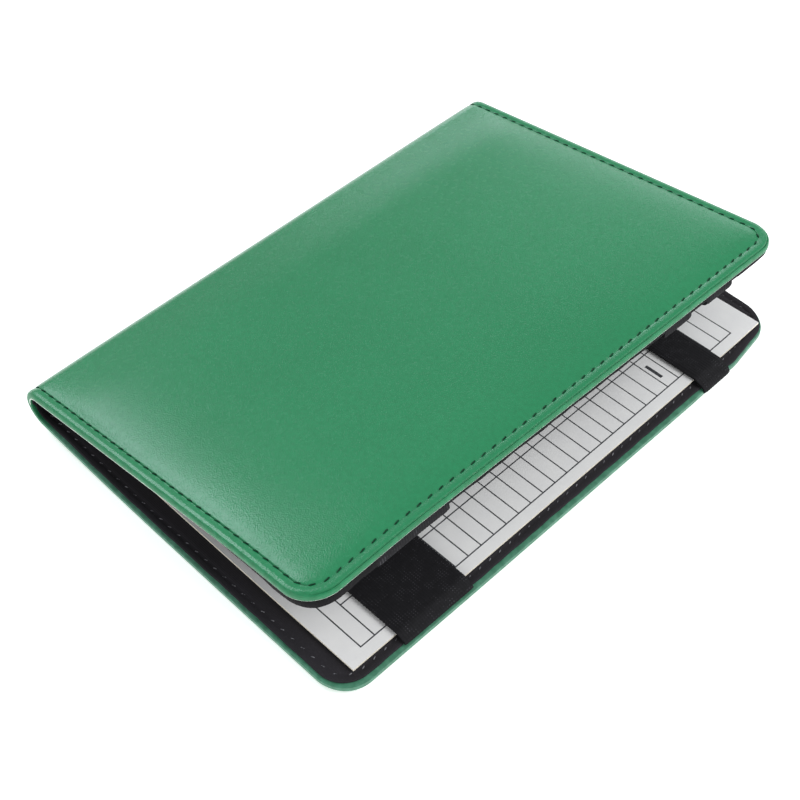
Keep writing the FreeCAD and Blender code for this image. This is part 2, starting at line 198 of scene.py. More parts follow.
# Steps of the meshes
SIDE_STEPS = 64
CORNER_STEPS = 8
END_STEPS = 90
FOLD_STEPS = 36
FOLD_CROWDING = 1.6         # above 1 they are closer towards the middle of the fold
FOLD_FOAM_STEPS = 8
THREAD_STEPS = (8, 6)       # along and around a stitch
MERGE_DISTANCE = 0.002      # points this close are joined
SHARP_ANGLE = math.radians(55)

# Camera, from the photograph's viewing angle
CAMERA_EYE = (0.1925, -0.1859, 0.2963)
CAMERA_HEADING = 47.20      # left of +Y
CAMERA_DROP = 49.08
CAMERA_ROLL = -2.15
CAMERA_LENS = 65.95

# Light
FLOOR_SIZE = 40.0           # metres
FLOOR_GLOW = 0.52
SKY = 0.5
WHITE = (1.0, 1.0, 1.0)
COOL_WHITE = (0.82, 0.94, 1.0)
# Soft boxes, each as its place in metres, its width and height, its power in watts and its colour
LIGHTS = {
    "far_right_light": ((0.85, 0.75, 0.95), (1.0, 0.9), 15.0, WHITE),
    "left_light": ((-1.00, -0.07, 0.93), (0.53, 0.68), 6.6, COOL_WHITE),
    "far_light": ((-0.73, 1.13, 0.37), (0.6, 0.30), 1.1, COOL_WHITE),
    "spine_light": ((-1.08, 0.88, 0.22), (0.4, 0.2), 1.0, COOL_WHITE),
    "near_light": ((0.05, -1.30, 0.40), (1.6, 0.6), 4.6, WHITE),
}


def smooth_step(value, start, end):
    t = np.clip((np.asarray(value, float) - start) / (end - start), 0, 1)
    return t * t * (3 - 2 * t)


class Cover:
    """The shape of one cover: its outer face runs round the fold and out to the free edge."""

    def __init__(self, reach, lift, tilt, twist, bent, turned_over):
        self.lift, self.tilt, self.twist = (math.radians(a) for a in (lift, tilt, twist))
        self.bent = bent
        self.turned_over = turned_over
        self.bend = LIFT_RADIUS * self.lift
        self.bend_x = (LIFT_RADIUS - FOLD_RADIUS) * math.sin(self.lift)
        self.bend_z = (LIFT_RADIUS - FOLD_RADIUS) * math.cos(self.lift)
        self.free = self.bend + reach - self.bend_x
        self.fold = FOLD_RADIUS * (math.pi / 2 - self.lift - self.tilt)

    def s_at(self, x):
        """s of the point on the outer face that is x from the fold centre."""
        if x < self.bend_x:
            return LIFT_RADIUS * (self.lift - math.asin((self.bend_x - x) / LIFT_RADIUS))
        return self.bend + x - self.bend_x

    def face(self, s):
        """Outer face and its inward normal at s, with the fold centre as origin and face down."""
        angle = 1.5 * math.pi - self.lift + np.minimum(s, 0) / FOLD_RADIUS
        cos, sin = np.cos(angle), np.sin(angle)
        fold = (FOLD_RADIUS * cos, FOLD_RADIUS * sin, -cos, -sin)
        lean = np.clip(self.lift - s / LIFT_RADIUS, 0, self.lift)
        x = self.bend_x - LIFT_RADIUS * np.sin(lean) + np.maximum(s - self.bend, 0)
        sheet = (x, self.bend_z - LIFT_RADIUS * np.cos(lean), np.sin(lean), np.cos(lean))
        return (np.where(s < 0, a, b) for a, b in zip(fold, sheet))

    def place(self, s, y, depth):
        """Points in the row frame, in millimetres."""
        s, y, depth = np.broadcast_arrays(*(np.asarray(v, float) for v in (s, y, depth)))
        shift_s, shift_y, shift_z = self.bent(s, y, self.free)
        s = s + shift_s
        x, z, normal_x, normal_z = self.face(s)
        x, z = x + normal_x * depth, z + normal_z * depth
        if self.turned_over:
            share = smooth_step(s, -self.fold, 0)
            turn = self.tilt - self.twist * share * y / HALF_LENGTH
            cos, sin = np.cos(turn), np.sin(turn)
            x, z = x * cos + z * sin, x * sin - z * cos
        return np.stack([x + FOLD_X, y + shift_y, z + FOLD_Z + shift_z], axis=-1)

    def distance(self, s, y):
        """Distance in from the three free edges."""
        to_free = self.free - s
        to_end = HALF_LENGTH - np.abs(y)
        past_free = np.maximum(CORNER_RADIUS - to_free, 0)
        past_end = np.maximum(CORNER_RADIUS - to_end, 0)
        in_corner = (past_free > 0) & (past_end > 0)
        radial = CORNER_RADIUS - np.hypot(past_free, past_end)
        return np.where(in_corner, radial, np.minimum(to_free, to_end))


def curled(s, y, free):
    """Both free corners curl up."""
    out = smooth_step(s, free - CURL_LENGTH, free + CURL_LENGTH / 4)
    far = smooth_step(y, HALF_LENGTH - CURL_LENGTH, HALF_LENGTH)
    near = smooth_step(-y, HALF_LENGTH - CURL_LENGTH, HALF_LENGTH)
    return 0, 0, out * (FAR_CURL * far + NEAR_CURL * near)


def card_bent(s, y, free):
    """The card bends with the cover, and its far free corner curls up a little more."""
    out = smooth_step(s, free - CURL_LENGTH, free)
    more = CARD_CURL * out * smooth_step(y, CARD_CURL_START, HALF_LENGTH)
    return 0, 0, curled(s, y, free)[2] + more


def back_bent(s, y, free):
    """The free corners curl up, and the far end is drawn in."""
    past = np.maximum(y - TAPER_START, 0) / (HALF_LENGTH - TAPER_START)
    taper = FOLD_TAPER + (BACK_TAPER - FOLD_TAPER) * np.clip(s / free, 0, 1)
    pull = CORNER_PULL * past * smooth_step(s, free - CORNER_PULL_LENGTH, free)
    return -pull, -taper * past, curled(s, y, free)[2]


def front_bent(s, y, free):
    """The near free corner droops, and the far end is drawn in a little."""
    past = np.maximum(y - TAPER_START, 0) / (HALF_LENGTH - TAPER_START)
    out = smooth_step(s, free - DROOP_LENGTH, free)
    near = smooth_step(-y, HALF_LENGTH - DROOP_LENGTH, HALF_LENGTH)
    return 0, -FOLD_TAPER * past, -DROOP * out * near


BACK = Cover(BACK_REACH, BACK_LIFT, 0, 0, back_bent, False)
CARD_BED = Cover(BACK_REACH, BACK_LIFT, 0, 0, card_bent, False)
FRONT = Cover(FRONT_REACH, 0, FRONT_TILT, FRONT_TWIST, front_bent, True)


# Meshes


def outline_frame(cover):
    """Centre points and outward directions of the three free edges, fold round to fold."""
    corner_s, corner_y = cover.free - CORNER_RADIUS, HALF_LENGTH - CORNER_RADIUS
    side = np.linspace(0, corner_s, SIDE_STEPS + 1)[:-1]
    turn = np.linspace(-math.pi / 2, 0, 2 * CORNER_STEPS + 1)
    free_y = np.linspace(-corner_y, corner_y, END_STEPS + 1)[1:-1]
    side_points = np.stack([side, np.full_like(side, -corner_y)], 1)
    arc_points = np.tile([corner_s, -corner_y], (len(turn), 1))
    free_points = np.stack([np.full_like(free_y, corner_s), free_y], 1)
    side_out = np.tile([0.0, -1.0], (len(side), 1))
    arc_out = np.stack([np.cos(turn), np.sin(turn)], 1)
    free_out = np.tile([1.0, 0.0], (len(free_y), 1))
    near, near_out = np.concatenate([side_points, arc_points]), np.concatenate([side_out, arc_out])
    mirror = [1, -1]
    points = np.concatenate([near, free_points, near[::-1] * mirror])
    return points, np.concatenate([near_out, free_out, near_out[::-1] * mirror])


def outline(cover, inset):
    """(s, y) along the three free edges at an inset, one number or one for each point."""
    points, out = outline_frame(cover)
    reach = CORNER_RADIUS - np.broadcast_to(inset, len(points))
    return points + out * reach[:, None]


def inner_grid(cover, inset=EDGE_ZONE):
    """(s, y) grid that fills a cover inside an inset, from the fold to the free edge."""
    ring = outline(cover, inset)
    first = SIDE_STEPS + CORNER_STEPS
    last = len(ring) - 1 - first
    near, free, far = ring[: first + 1], ring[first : last + 1], ring[last:][::-1]
    fold_y = free[:, 1] * (HALF_LENGTH - inset) / free[-1, 1]
    fold = np.stack([np.zeros_like(fold_y), fold_y], 1)
    u = np.linspace(0, 1, len(near))[:, None, None]
    v = np.linspace(0, 1, len(free))[None, :, None]
    sides = (1 - v) * near[:, None] + v * far[:, None] + (1 - u) * fold[None] + u * free[None]
    corners = (1 - u) * ((1 - v) * near[0] + v * far[0]) + u * ((1 - v) * near[-1] + v * far[-1])
    return sides - corners


class Patches:
    """Grids of points that are joined into one mesh."""

    def __init__(self):
        self.points, self.faces, self.slots, self.count = [], [], [], 0

    def add(self, grid, slot=0, around=False):
        """Add a grid of points as quads; around joins its last column to its first."""
        rows, columns = grid.shape[:2]
        index = self.count + np.arange(rows * columns).reshape(rows, columns)
        if around:
            index = np.concatenate([index, index[:, :1]], 1)
        quads = np.stack([index[:-1, :-1], index[1:, :-1], index[1:, 1:], index[:-1, 1:]], -1)
        self.points.append(grid.reshape(-1, 3))
        self.faces.append(quads.reshape(-1, 4))
        self.slots.append(np.full(len(self.faces[-1]), slot))
        self.count += rows * columns

    def add_face(self, row, slot=0):
        """Add one flat face over a closed row of points."""
        index = self.count + np.arange(len(row))
        self.points.append(row)
        self.faces.append([index])
        self.slots.append(np.full(1, slot))
        self.count += len(row)

    def build(self, name, *materials):
        mesh = bpy.data.meshes.new(name)
        faces = [list(map(int, face)) for group in self.faces for face in group]
        mesh.from_pydata((np.concatenate(self.points) * MM).tolist(), [], faces)
        mesh.polygons.foreach_set("material_index", np.concatenate(self.slots).astype(np.int32))
        work = bmesh.new()
        work.from_mesh(mesh)
        bmesh.ops.remove_doubles(work, verts=work.verts, dist=MERGE_DISTANCE * MM)
        bmesh.ops.recalc_face_normals(work, faces=work.faces)
        for face in work.faces:
            face.smooth = True
        work.to_mesh(mesh)
        work.free()
        mesh.set_sharp_from_angle(angle=SHARP_ANGLE)
        for material in materials:
            mesh.materials.append(material)
        piece = bpy.data.objects.new(name, mesh)
        bpy.context.scene.collection.objects.link(piece)
        return piece


def fold_samples(cover):
    """s round the fold, closer together towards its middle so that both halves meet smoothly."""
    return -cover.fold * (1 - np.linspace(0, 1, FOLD_STEPS + 1) ** FOLD_CROWDING)


def add_shell(patches, cover, profile, relief):
    """A sheet with two faces and a shaped edge, round the fold and out to the free edge.

    profile goes from one face round the edge to the other as (inset, depth, slot), and begins and
    ends at EDGE_ZONE. relief(s, y, depth) gives the finished depth."""
    insets, depths, slots = zip(*profile)
    rings = np.stack([outline(cover, inset) for inset in insets])
    count = rings.shape[1]
    depths = np.stack([np.broadcast_to(depth, count) for depth in depths])
    s, y = rings[..., 0], rings[..., 1]
    edge = cover.place(s, y, relief(s, y, depths))
    for k, slot in enumerate(slots[:-1]):
        patches.add(edge[k : k + 2], slot)
    fold_s = fold_samples(cover)[:, None]
    for end in (0, -1):
        y, depth = rings[None, :, end, 1], depths[None, :, end]
        strip = cover.place(fold_s, y, relief(fold_s, y, depth))
        for k, slot in enumerate(slots[:-1]):
            patches.add(strip[:, k : k + 2], slot)
        patches.add_face(strip[0])
    grid = inner_grid(cover)
    middle_rows = []
    for depth in (depths[0, 0], depths[-1, 0]):
        s, y = grid[..., 0], grid[..., 1]
        patches.add(cover.place(s, y, relief(s, y, depth)))
        y = grid[:1, :, 1]
        strip = cover.place(fold_s, y, relief(fold_s, y, depth))
        patches.add(strip)
        middle_rows.append(strip[0])
    patches.add(np.stack(middle_rows))


def add_block(patches, grid_s, grid_y, top, bottom, cover):
    """A closed block between two depths over a grid of (s, y)."""
    faces = [cover.place(grid_s, grid_y, depth) for depth in (top, bottom)]
    for face in faces:
        patches.add(face)
    rims = [np.concatenate([f[0], f[1:, -1], f[-1, -2::-1], f[-2:0:-1, 0]]) for f in faces]
    patches.add(np.stack(rims, 1)[:, ::-1].transpose(1, 0, 2), around=True)


# Leather


def no_rise(s, y):
    return 0.0


def swollen_face(cover):
    """Swell of a cover's outer face over a grid of s and y, by cloth simulation.

    The face is sewn down along its three free edges and pushed out from inside."""
    s_end, y_end = cover.free - PUFF_START, HALF_LENGTH - PUFF_START
    s_line = np.linspace(-cover.fold, s_end, round((s_end + cover.fold) / PUFF_STEP) + 1)
    y_line = np.linspace(-y_end, y_end, round(2 * y_end / PUFF_STEP) + 1)
    s, y = np.meshgrid(s_line, y_line, indexing="ij")
    patches = Patches()
    patches.add(np.stack([s, y, np.zeros_like(s)], -1))
    face = patches.build("swelling_face")
    sewn = face.vertex_groups.new(name="sewn")
    on_seam = cover.distance(s, y) < PUFF_START + SEWN_MARGIN
    sewn.add(np.flatnonzero(on_seam).tolist(), 1.0, "REPLACE")
    cloth = face.modifiers.new("Cloth", "CLOTH")
    cloth.settings.vertex_group_mass = sewn.name
    cloth.settings.use_pressure = True
    cloth.settings.uniform_pressure_force = PUFF_PRESSURE
    cloth.settings.effector_weights.gravity = 0.0
    cloth.point_cache.frame_end = PUFF_FRAMES
    scene = bpy.context.scene
    for step in range(1, PUFF_FRAMES + 1):
        scene.frame_set(step)
    swollen = face.evaluated_get(bpy.context.evaluated_depsgraph_get())
    heights = np.array([abs(vertex.co.z) for vertex in swollen.data.vertices]).reshape(s.shape)
    bpy.data.objects.remove(face)
    scene.frame_set(1)
    return s_line, y_line, heights / heights.max()


def front_rise(s, y):
    """How far the front cover's padding lifts its outer face: most steeply beside the stitches."""
    s_line, y_line, heights = SWELL
    across = np.clip((s - s_line[0]) / (s_line[1] - s_line[0]), 0, len(s_line) - 1)
    along = np.clip((y - y_line[0]) / (y_line[1] - y_line[0]), 0, len(y_line) - 1)
    i = np.minimum(across.astype(int), len(s_line) - 2)
    j = np.minimum(along.astype(int), len(y_line) - 2)
    u, v = across - i, along - j
    low = heights[i, j] * (1 - u) + heights[i + 1, j] * u
    high = heights[i, j + 1] * (1 - u) + heights[i + 1, j + 1] * u
    swell = PUFF_SWELL * (low * (1 - v) + high * v)
    inside = smooth_step(FRONT.distance(s, y), PUFF_START, PUFF_START + PUFF_SOFT)
    inside = inside * smooth_step(s, -FRONT.fold, FOLD_PUFF_END)
    return PUFF_LIMIT * (1 - np.exp(-swell / PUFF_LIMIT)) * inside


def hem_drop(cover, s, y, depth):
    """How far the turned-in hem sinks away from the lining round the fold."""
    inside = smooth_step(cover.distance(s, y), *FOLD_HEM_INSET)
    round_fold = 1 - smooth_step(s, 0, FOLD_HEM_END)
    return FOLD_HEM_DROP * smooth_step(depth, FOLD_HEM_TOP, HEM) * round_fold * inside


def back_relief(s, y, depth):
    return depth - hem_drop(BACK, s, y, depth)


def front_relief(s, y, depth):
    return depth - hem_drop(FRONT, s, y, depth) - front_rise(s, y) * (depth < GROOVE)


def leather_profile(cover, raw_edge_slot):
    """Outer face, stitch groove, rolled lip with its crease, raw edge and turned-in hem.

    The seam line is creased on the near and far edges, and the rim is creased on the free edge."""
    points, out = outline_frame(cover)
    s, y = points.T
    crease = smooth_step(out[:, 0], 0.3, 0.95)
    seam = 1 - crease
    raw_top = RAW_EDGE_TOP + RAW_EDGE_NARROWING * smooth_step(s, *RAW_EDGE_NARROWS)
    bulge = RIM_BULGE * crease * (1 - smooth_step(y, *RIM_BULGE_END)) if cover is BACK else 0.0
    return [
        # Outer face and groove
        (EDGE_ZONE, 0.0, 0),
        (5.2, 0.0, 0),
        (4.3, -0.02, 0),
        (3.8, 0.02, 0),
        (3.4, 0.11, 0),
        (3.15, 0.22 - 0.04 * seam, 0),
        (STITCH_INSET, GROOVE + SEAM_CREASE * seam, 0),
        (2.85, 0.24 - 0.06 * seam, 0),
        (2.6, 0.13, 0),
        # Lip and rim
        (2.2, 0.07, 0),
        (1.8, 0.02, 0),
        (1.5, 0.0, 0),
        (1.3, 0.02, 0),
        (1.0, 0.08, 0),
        (0.7, 0.14, 0),
        (0.54, 0.22 + 0.34 * crease, 1),
        (0.46, 0.32 + 0.33 * crease, 1),
        (0.36, 0.42 + 0.1 * crease, 1),
        (0.22 - bulge / 2, 0.6 - 0.1 * crease, 1),
        (0.08 - bulge, 0.83 - 0.13 * crease, 1),
        (-bulge, 1.1, 1),
        (-bulge, 1.4, 1),
        (0.06 - bulge, raw_top - 0.06, 1),
        # Raw edge and hem
        (0.04 - bulge, raw_top, raw_edge_slot),
        (0.06 - bulge, 2.08, raw_edge_slot),
        (0.14 - bulge / 2, 2.16, 1),
        (0.6, HEM + 0.02, 1),
        (2.0, HEM, 0),
        (5.7, HEM, 0),
        (5.9, HEM - 0.1, 0),
        (5.95, LEATHER + 0.1, 0),
        (EDGE_ZONE, LEATHER, 0),
    ]


def make_leather(cover, name, relief, rim, raw_edge_slot):
    patches = Patches()
    add_shell(patches, cover, leather_profile(cover, raw_edge_slot), relief)
    return patches.build(name, MATERIALS["leather"], MATERIALS[rim], MATERIALS["raw_edge"])


# Filling


def make_filling(cover, name, top, bottom, rise, material):
    """A foam pad or board that fills the pocket between the leather and the lining."""
    patches = Patches()
    # A hidden piece needs fewer points, and its first rows are left to the fold's own padding.
    grid = inner_grid(cover, FILLING_INSET)[6:][::3, ::2]
    s, y = grid[..., 0], grid[..., 1]
    add_block(patches, s, y, top - rise(s, y), bottom, cover)
    return patches.build(name, material)


def make_fold_foam(cover, name):
    patches = Patches()
    y_line = (HALF_LENGTH - FILLING_INSET) * np.linspace(-1, 1, FOLD_FOAM_STEPS + 1)
    s, y = np.meshgrid(fold_samples(cover)[::3], y_line, indexing="ij")
    add_block(patches, s, y, LEATHER + LAYER_GAP, FOAM, cover)
    return patches.build(name, MATERIALS["foam"])


# Lining


def waves(s, y, terms):
    return sum(height * np.sin(s * by_s + y * by_y + phase) for height, by_s, by_y, phase in terms)


def lining_inset(cover):
    """The lining's cut edge: wavy, and almost at the rim beyond the far strap."""
    s, y = outline_frame(cover)[0].T
    wavy = waves(s, y, EDGE_WAVES)
    if cover is FRONT:
        return FRONT_LINING_INSET + wavy
    beyond = smooth_step(y, *FAR_STRAP_Y)
    return BACK_LINING_INSET - (BACK_LINING_INSET - FAR_LINING_INSET) * beyond + wavy


def lining_sag(cover, s, y):
    """The front lining hangs loose along its free edge, most of all at the near corner."""
    if cover is BACK:
        return np.zeros_like(s)
    near = smooth_step(-y, HALF_LENGTH - SAG_CORNER[0], HALF_LENGTH - SAG_CORNER[1])
    out = smooth_step(s, cover.free - SAG_WIDTH - SAG_WIDTH_MORE * near, cover.free - STITCH_INSET)
    crumple = waves(s, y, CRUMPLES) * (CRUMPLE_SHARE + (1 - CRUMPLE_SHARE) * near)
    amount = LINING_SAG + (NEAR_LINING_SAG - LINING_SAG) * near + crumple
    edge = 1 - smooth_step(cover.distance(s, y), *SAG_EDGE)
    return amount * out * edge


def make_lining(cover, name, material):
    inset = lining_inset(cover)

    def relief(s, y, depth):
        ripple = waves(s, y, RIPPLES) * smooth_step(cover.distance(s, y), *RIPPLE_INSET)
        lower_side = smooth_step(depth, LINING_UNDER, LINING - 0.2)
        return depth + (ripple + lining_sag(cover, s, y)) * lower_side

    profile = [
        (EDGE_ZONE, LINING, 0),
        (4.2, LINING - 0.02, 0),
        (3.5, LINING - 0.10, 0),
        (STITCH_INSET, LINING - LINING_GROOVE, 0),
        (2.5, LINING - 0.10, 0),
        (2.0, LINING - 0.02, 0),
        (inset + 0.35, LINING, 0),
        (inset + 0.12, LINING - 0.06, 0),
        (inset, LINING - 0.22, 0),
        (inset + 0.02, LINING_UNDER + 0.05, 0),
        (inset + 0.1, LINING_UNDER, 0),
        (3.0, LINING_UNDER - 0.02, 0),
        (EDGE_ZONE, LINING_UNDER, 0),
    ]
    patches = Patches()
    add_shell(patches, cover, profile, relief)
    return patches.build(name, material)


# Stitches


def stitch_line(cover):
    """(s, y) line of the stitches from the middle of the fold round to the middle again."""
    ring = outline(cover, STITCH_INSET)
    middle = np.array([[-cover.fold, ring[0, 1]]])
    return np.concatenate([middle, ring, middle * [1, -1]])


def add_stitches(patches, cover, line, depth, outward, start, length=STITCH_LENGTH, radius=THREAD_RADIUS):
    """Threads along a line that come out of one hole and go down the next."""
    steps = np.linalg.norm(np.diff(line, axis=0), axis=1)
    travel = np.concatenate([[0], np.cumsum(steps)])
    count = int((travel[-1] - start) / STITCH_PITCH)
    pitch = (travel[-1] - 2 * start) / max(count, 1)
    along = np.linspace(-1, 1, THREAD_STEPS[0] + 1)
    around = np.linspace(0, 2 * math.pi, THREAD_STEPS[1] + 1)[:-1]
    # A thread is round, narrows into its holes and dips there.
    narrow = np.maximum(1 - np.abs(along) ** 6, THREAD_END)
    dip = STITCH_DIP * np.abs(along) ** 4
    for k in range(count):
        centre = start + (k + 0.5) * pitch
        at = centre + along * length / 2
        s, y = np.interp(at, travel, line[:, 0]), np.interp(at, travel, line[:, 1])
        ds, dy = np.gradient(s), np.gradient(y)
        size = np.hypot(ds, dy)
        side_s, side_y = -dy / size, ds / size
        shift = (STITCH_SLANT * along)[:, None] + radius * narrow[:, None] * np.cos(around)
        sunk = depth + outward * (dip[:, None] - radius * narrow[:, None] * np.sin(around))
        grid = cover.place(s[:, None] + side_s[:, None] * shift, y[:, None] + side_y[:, None] * shift, sunk)
        patches.add(grid, around=True)
        patches.add_face(grid[0])
        patches.add_face(grid[-1])


def make_stitching(cover, name, depth, outward, size, material):
    patches = Patches()
    add_stitches(patches, cover, stitch_line(cover), depth, outward, STITCH_PITCH / 4, *size)
    return patches.build(name, material)


def make_tacks(cover, name, straps):
    """Two rows of black stitches that hold each strap's hidden end."""
    patches = Patches()
    first = cover.s_at(STRAP_START)
    top = LINING + STRAP_GAP + STRAP_THICKNESS
    for strap in straps:
        low, high = box_mm(strap)
        for row in TACK_ROWS:
            s = first + row
            line = np.array([[s, low[1] + TACK_INSET], [s, high[1] - TACK_INSET]])
            add_stitches(patches, cover, line, top, -1, TACK_MARGIN)
    return patches.build(name, MATERIALS["black_thread"])


# Straps


def rounded(points, rounds=3):
    """Cut the corners of a line of points, keeping its ends."""
    points = np.asarray(points, float)
    for _ in range(rounds):
        first, second = points[:-1], points[1:]
        cut = np.stack([0.75 * first + 0.25 * second, 0.25 * first + 0.75 * second], 1).reshape(-1, 2)
        points = np.concatenate([points[:1], cut[1:-1], points[-1:]])
    return points


def divided(points, longest):
    """Divide the long spans of a line of points."""
    result = [points[:1]]
    for a, b in zip(points, points[1:]):
        parts = max(1, math.ceil(np.linalg.norm(b - a) / longest))
        result.append(a + (b - a) * np.linspace(0, 1, parts + 1)[1:, None])
    return np.concatenate(result)


def back_strap_path(wrapped):
    """Middle of the strap's thickness as (s, depth): over the card and its edge, to the rim.

    A wrapped strap goes round the rim as well."""
    first = BACK.s_at(STRAP_START)
    sewn = LINING + STRAP_GAP + STRAP_THICKNESS / 2
    over = CARD_DEPTH + OVER_CARD
    free = BACK.free
    tucked = [(free - 0.75, LINING + 0.35), (free - 0.4, LINING - 0.1)]
    round_rim = [(free - 0.3, LINING + 0.3), (free + 0.25, LINING - 0.4), (free + 0.35, LINING - 1.1)]
    return [
        (first, sewn),
        (first + STRAP_SEWN, sewn),
        (first + STRAP_SEWN + 1.6, over),
        (first + 12, over),
        (free - 9, over),
        (free - 4.0, over),
        (free - 2.9, over - 0.1),
        (free - 1.5, LINING + 0.75),
        *(round_rim if wrapped else tucked),
    ]


def front_strap_path(rise):
    """Slack strap: it hangs below the lining and turns up into the free edge's seam."""
    sewn = LINING + STRAP_GAP + STRAP_THICKNESS / 2
    side = FRONT.free - 0.8
    low = FRONT_STRAP_DEPTH - rise
    return [
        (STRAP_START, sewn),
        (STRAP_START + STRAP_SEWN, sewn),
        (STRAP_START + 14, sewn + 0.35),
        (side - 50, sewn + 1.1),
        (side - 16, low - 0.5),
        (side - 5.0, low),
        (side - 1.2, low),
        (side, low - 0.6),
        (side + 0.1, low - 2.0),
        (side, HEM + 0.1),
    ]


def make_strap(cover, name, path, body):
    """Ribbed elastic: fine cords run along it, and its woven edges have small loops."""
    low, high = box_mm(name)
    centre, half = (low[1] + high[1]) / 2, (high[1] - low[1]) / 2 - STRAP_MARGIN
    line = divided(rounded(path), LOOP_STEP)
    tangent = np.gradient(line, axis=0)
    tangent /= np.linalg.norm(tangent, axis=1)[:, None]
    normal = np.stack([-tangent[:, 1], tangent[:, 0]], 1)
    ribs = round(2 * half / RIB_PITCH)
    across = np.linspace(-1, 1, ribs * RIB_STEPS + 1)
    rib = np.abs(np.sin(np.linspace(0, ribs * math.pi, len(across)))) ** RIB_FULLNESS
    edge = 1 - smooth_step(np.abs(across), 1 - SELVEDGE / half, 1) * SELVEDGE_THINNING
    thick = (STRAP_THICKNESS / 2 - RIB_HEIGHT * (1 - rib)) * edge
    loops = LOOP_HEIGHT * (-1.0) ** np.arange(len(line))
    at_edge = np.sign(across) * smooth_step(np.abs(across), LOOP_START, 1)
    y = centre + across * half + at_edge * loops[:, None]
    top = line[:, None] + normal[:, None] * thick[None, :, None]
    bottom = line[:, None] - normal[:, None] * thick[None, :, None]
    around = np.concatenate([top, bottom[:, ::-1]], 1)
    around_y = np.concatenate([y, y[:, ::-1]], 1)
    grid = cover.place(around[..., 0], around_y, around[..., 1])
    patches = Patches()
    patches.add(grid, around=True)
    for end in (0, -1):
        columns = len(across)
        patches.add(np.stack([grid[end, :columns], grid[end, columns:][::-1]]))
    strap = patches.build(name.replace("strap", "elastic"), MATERIALS["elastic"])
    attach(strap, body)
    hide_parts(name)
    return strap


# Card


def make_card():
    """A card folded once along the fold side: two leaves round a narrow bend."""
    edge = BACK.free - CARD_EDGE_INSET
    bend = edge - (CARD_HIGH[0] - CARD_LOW[0])
    middle = CARD_DEPTH + CARD_LEAF + CARD_GAP / 2
    y = np.linspace(CARD_LOW[1], CARD_HIGH[1], CARD_STEPS[1] + 1) + CARD_SHIFT
    leaf = np.linspace(edge, bend + CARD_BEND, CARD_STEPS[0] + 1)
    level = np.ones_like(leaf)
    turn = np.linspace(math.pi / 2, 3 * math.pi / 2, CARD_BEND_STEPS + 1)[1:-1]

    def wall(offset):
        s = np.concatenate([leaf, bend + CARD_BEND + offset * np.cos(turn), leaf[::-1]])
        rise = offset * np.concatenate([level, np.sin(turn), -level])
        return CARD_BED.place(s[:, None], y[None], middle + rise[:, None])

    outer, inner = wall(CARD_GAP / 2 + CARD_LEAF), wall(CARD_GAP / 2)
    patches = Patches()
    patches.add(outer, 0)
    patches.add(inner, 1)
    for end in (0, -1):
        patches.add(np.stack([outer[end], inner[end]]), 1)
        patches.add(np.stack([outer[:, end], inner[:, end]]), 1)
    card = patches.build("folded_card", MATERIALS["card"], MATERIALS["card_edge"])
    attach(card, "scorecard_body")
    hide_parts("scorecard")


# Materials


# Both covers' rims and linings have the same colour where they meet in the fold; beyond it the front lining
# is painted darker as shade and the back lining lighter as light
FOLD_RIM_COLOUR = (28, 120, 76)
FOLD_LINING_COLOUR = (20, 19, 22)


class Nodes:
    """A material's nodes, with short ways to add and join them."""

    def __init__(self, name):
        self.material = bpy.data.materials.new(name)
        self.material.use_nodes = True
        self.tree = self.material.node_tree
        self.shader = self.tree.nodes["Principled BSDF"]
        place = self.tree.nodes.new("ShaderNodeTexCoord")
        self.place = place.outputs["Object"]

    def add(self, kind, inputs=(), **settings):
        node = self.tree.nodes.new(kind)
        for key, value in settings.items():
            setattr(node, key, value)
        for key, value in dict(inputs).items():
            self.put(node, key, value)
        return node

    def put(self, node, key, value):
        if isinstance(value, bpy.types.NodeSocket):
            self.tree.links.new(value, node.inputs[key])
        else:
            node.inputs[key].default_value = value

    def math(self, operation, a, b=0.0, c=0.0):
        inputs = {0: a, 1: b, 2: c}
        return self.add("ShaderNodeMath", inputs, operation=operation).outputs[0]

    def noise(self, scale, detail=3.0, roughness=0.5, stretch=(1, 1, 1)):
        where = self.add("ShaderNodeMapping", {"Vector": self.place, "Scale": stretch})
        inputs = {"Vector": where.outputs[0], "Scale": scale, "Detail": detail, "Roughness": roughness}
        return self.add("ShaderNodeTexNoise", inputs).outputs["Fac"]

    def cells(self, scale, stretch=(1, 1, 1), feature="F1"):
        where = self.add("ShaderNodeMapping", {"Vector": self.place, "Scale": stretch})
        inputs = {"Vector": where.outputs[0], "Scale": scale}
        return self.add("ShaderNodeTexVoronoi", inputs, feature=feature).outputs["Distance"]

    def ramp(self, value, low, high, out_low, out_high):
        inputs = {"Value": value, 1: low, 2: high, 3: out_low, 4: out_high}
        return self.add("ShaderNodeMapRange", inputs).outputs[0]

    def mix(self, factor, first, second):
        node = self.add("ShaderNodeMix", data_type="RGBA")
        self.put(node, 0, factor)
        self.put(node, 6, first)
        self.put(node, 7, second)
        return node.outputs[2]

    def bump(self, height, distance, strength=1.0, below=None):
        node = self.add("ShaderNodeBump", {"Height": height, "Distance": distance, "Strength": strength})
        if below is not None:
            self.put(node, "Normal", below)
        return node.outputs[0]

    def finish(self, colour, roughness, normal=None, **plain):
        self.put(self.shader, "Base Color", colour)
        self.put(self.shader, "Roughness", roughness)
        if normal is not None:
            self.put(self.shader, "Normal", normal)
        for key, value in plain.items():
            self.put(self.shader, key.replace("_", " "), value)
        return self.material


def srgb(red, green, blue):
    """A colour given as it looks on a screen, 0 to 255."""
    linear = [((v / 255 + 0.055) / 1.055) ** 2.4 if v > 10 else v / 255 / 12.92 for v in (red, green, blue)]
    return (*linear, 1.0)


